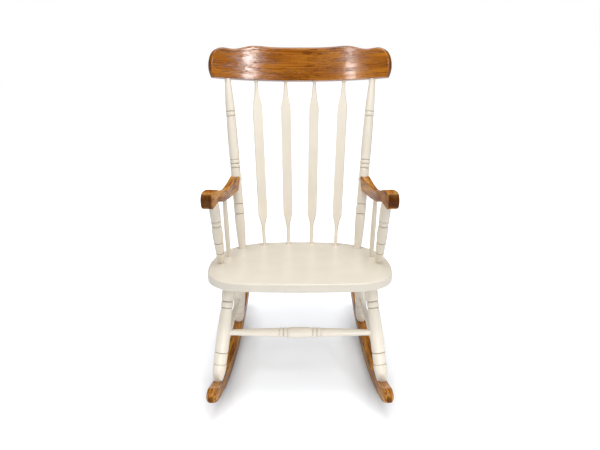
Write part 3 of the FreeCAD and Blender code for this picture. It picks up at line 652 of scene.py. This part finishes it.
def roll_nose(heart, outward):
    """Cut the active piece off at its nose's root, and draw a rounded nose out of the cut."""
    bpy.ops.object.mode_set(mode="EDIT")
    bpy.ops.mesh.select_all(action="SELECT")
    bpy.ops.mesh.bisect(plane_co=heart, plane_no=outward, clear_outer=True)
    bpy.ops.mesh.subdivide(number_cuts=NOSE_EDGE_CUTS)
    size, run = 1.0, 0.0
    for ring in range(1, NOSE_RINGS + 1):
        turn = math.pi / 2 * ring / (NOSE_RINGS + 0.5)
        next_size = math.cos(turn) ** NOSE_SIZE_POWER
        next_run = NOSE_LENGTH * math.sin(turn) ** NOSE_RUN_POWER
        bpy.ops.mesh.extrude_region_move(
            TRANSFORM_OT_translate={"value": outward * (next_run - run)})
        bpy.ops.transform.resize(
            value=(next_size / size,) * 3, center_override=heart + outward * next_run)
        bpy.ops.transform.tosphere(value=NOSE_CORNER_LOSS)
        size, run = next_size, next_run
    bpy.ops.mesh.merge(type="CENTER")
    bpy.ops.mesh.select_all(action="SELECT")
    bpy.ops.mesh.normals_make_consistent(inside=False)
    bpy.ops.object.mode_set(mode="OBJECT")


def stand_for(piece, name, material):
    """Shade the shaped piece so that its flats stay flat, and let it take the node's place."""
    bpy.ops.object.shade_smooth_by_angle(angle=SMOOTH_ANGLE)
    flats = piece.modifiers.new("flat_faces_first", "WEIGHTED_NORMAL")
    flats.keep_sharp = True
    bpy.ops.object.modifier_apply(modifier=flats.name)
    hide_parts(name)
    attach(piece, "root")
    piece.data.materials.clear()
    piece.data.materials.append(material)


class CHAIR_OT_seat(bpy.types.Operator):
    """Paint the seat board"""

    bl_idname = "rocking_chair.seat"
    bl_label = "Seat"

    def execute(self, context):
        paint_piece("seat", context.scene.rocking_chair.paint)
        return {"FINISHED"}


class CHAIR_OT_crest_rail(bpy.types.Operator):
    """Stain and lacquer the bowed crest rail"""

    bl_idname = "rocking_chair.crest_rail"
    bl_label = "Crest rail"

    def execute(self, context):
        dress("crest_rail", lacquered_oak(
            "lacquered_oak_crest_rail", context.scene.rocking_chair.oak,
            CREST_FOOT, Vector((1, 0, 0)), bowed=True))
        return {"FINISHED"}


class CHAIR_OT_back(bpy.types.Operator):
    """Paint the back posts and the arrow spindles"""

    bl_idname = "rocking_chair.back"
    bl_label = "Back posts and spindles"

    def execute(self, context):
        for name in ("back_post_left", "back_post_right", "back_spindle_1",
                     "back_spindle_2", "back_spindle_3", "back_spindle_4"):
            paint_piece(name, context.scene.rocking_chair.paint)
        return {"FINISHED"}


class CHAIR_OT_arms(bpy.types.Operator):
    """Stain and lacquer the arms, and paint what carries them"""

    bl_idname = "rocking_chair.arms"
    bl_label = "Arms"

    def execute(self, context):
        settings = context.scene.rocking_chair
        for side in ("_left", "_right"):
            oak_piece("arm" + side, settings.oak)
            paint_piece("arm_post" + side, settings.paint)
            paint_piece("arm_spindle" + side, settings.paint)
        return {"FINISHED"}


class CHAIR_OT_undercarriage(bpy.types.Operator):
    """Paint the legs and plain stretchers, and turn the beaded front stretcher"""

    bl_idname = "rocking_chair.undercarriage"
    bl_label = "Legs and stretchers"

    def execute(self, context):
        paint = context.scene.rocking_chair.paint
        for name in ("front_leg_left", "front_leg_right", "rear_leg_left", "rear_leg_right",
                     "rear_stretcher", "side_stretcher_left", "side_stretcher_right"):
            paint_piece(name, paint)
        middle, along = long_axis(nodes["front_stretcher"])
        piece = lathe(context, "beaded_stretcher", middle, along, STRETCHER_PROFILE)
        stand_for(piece, "front_stretcher",
                  satin_paint("satin_paint_front_stretcher", paint, middle, along))
        return {"FINISHED"}


class CHAIR_OT_rockers(bpy.types.Operator):
    """Roll the rockers' noses over, then stain and lacquer them"""

    bl_idname = "rocking_chair.rockers"
    bl_label = "Rockers"

    def execute(self, context):
        for name, side in (("rocker_left", 1), ("rocker_right", -1)):
            piece = copy_of(context, name, "rolled_" + name)
            roll_nose(*nose_root(side))
            stand_for(piece, name, lacquered_oak(
                "lacquered_oak_" + name, context.scene.rocking_chair.oak, *long_axis(piece)))
        return {"FINISHED"}


class CHAIR_OT_fasteners(bpy.types.Operator):
    """Finish the screws and the pins"""

    bl_idname = "rocking_chair.fasteners"
    bl_label = "Screws and pins"

    def execute(self, context):
        steel = black_oxide_steel()
        dress("arm_screws", steel)
        dress("rocker_screws", steel)
        oak_piece("crest_pins", context.scene.rocking_chair.oak)
        return {"FINISHED"}


def hang_lamp(context, name, lamp, power):
    """Rectangular soft box that faces a point."""
    aim = (Vector(lamp.target) - Vector(lamp.place)).to_track_quat("-Z", "Y").to_euler()
    bpy.ops.object.light_add(type="AREA", location=lamp.place, rotation=aim)
    context.object.name = name
    light = context.object.data
    light.shape = "RECTANGLE"
    light.size, light.size_y = lamp.size
    light.spread = math.radians(lamp.spread)
    light.energy = power


def studio_light(studio):
    """Even light from all round, plain white to the lens. Gloss shows a white cove with a
    dim studio over it."""
    world = bpy.data.worlds.new("studio_light")
    world.use_nodes = True
    tree = world.node_tree
    background = tree.nodes["Background"]
    background.inputs["Color"].default_value = opaque((1, 1, 1))
    place = add_node(tree, "ShaderNodeTexCoord").outputs["Generated"]
    height = add_node(tree, "ShaderNodeSeparateXYZ", {"Vector": place}).outputs["Z"]
    cove = add_node(tree, "ShaderNodeMapRange", {
        "Value": height, "From Min": COVE_TOP[0], "From Max": COVE_TOP[1],
        "To Min": studio.cove, "To Max": studio.ceiling}, interpolation_type="SMOOTHSTEP")
    mirrored = add_node(tree, "ShaderNodeMix", {
        MIX_SHARE: seen_ray(tree, GLOSS_RAYS), NUMBER_A: studio.sky,
        NUMBER_B: cove.outputs["Result"]}, data_type="FLOAT")
    level = add_node(tree, "ShaderNodeMix", {
        MIX_SHARE: seen_ray(tree, LENS_RAYS), NUMBER_A: mirrored.outputs[MIXED_NUMBER],
        NUMBER_B: 1.0}, data_type="FLOAT")
    tree.links.new(level.outputs[MIXED_NUMBER], background.inputs["Strength"])
    return world


class CHAIR_OT_stage(bpy.types.Operator):
    """Set up the floor, the backdrop, the lamps and the camera"""

    bl_idname = "rocking_chair.stage"
    bl_label = "Stage"

    def execute(self, context):
        studio = context.scene.rocking_chair.studio
        bpy.ops.object.select_all(action="DESELECT")
        bpy.ops.mesh.primitive_circle_add(
            vertices=FLOOR_SIDES, radius=FLOOR_RADIUS, fill_type="NGON")
        floor = context.object
        floor.name = "studio_floor"
        floor.data.materials.append(matt_board(studio.floor_colour))
        for name, lamp in LAMPS.items():
            hang_lamp(context, name, lamp, getattr(studio, lamp.power))
        context.scene.world = studio_light(studio)
        bpy.ops.object.camera_add(
            location=(0, -studio.camera_distance, studio.camera_height),
            rotation=(math.pi / 2 - studio.camera_pitch, 0, 0))
        camera = context.object
        camera.name = "photograph_camera"
        camera.data.sensor_width = SENSOR_WIDTH
        camera.data.lens = studio.lens
        context.scene.camera = camera
        context.scene.view_settings.view_transform = "Standard"
        return {"FINISHED"}


STEPS = (CHAIR_OT_seat, CHAIR_OT_crest_rail, CHAIR_OT_back, CHAIR_OT_arms,
         CHAIR_OT_undercarriage, CHAIR_OT_rockers, CHAIR_OT_fasteners, CHAIR_OT_stage)


class CHAIR_PT_panel(bpy.types.Panel):
    """The chair's settings and steps, in the 3D view's sidebar"""

    bl_label = "Rocking chair"
    bl_idname = "CHAIR_PT_panel"
    bl_space_type = "VIEW_3D"
    bl_region_type = "UI"
    bl_category = "Rocking chair"

    def draw(self, context):
        settings = context.scene.rocking_chair
        for group in (settings.paint, settings.oak, settings.studio):
            box = self.layout.box()
            for name in group.__annotations__:
                box.prop(group, name)
        for step in STEPS:
            self.layout.operator(step.bl_idname)


CLASSES = (PaintFinish, OakFinish, Studio, ChairSettings, *STEPS, CHAIR_PT_panel)


def register():
    for cls in CLASSES:
        bpy.utils.register_class(cls)
    bpy.types.Scene.rocking_chair = bpy.props.PointerProperty(type=ChairSettings)


def unregister():
    del bpy.types.Scene.rocking_chair
    for cls in reversed(CLASSES):
        bpy.utils.unregister_class(cls)


def main():
    register()
    for step in STEPS:
        group, name = step.bl_idname.split(".")
        getattr(getattr(bpy.ops, group), name)()


if __name__ == "__main__":
    main()
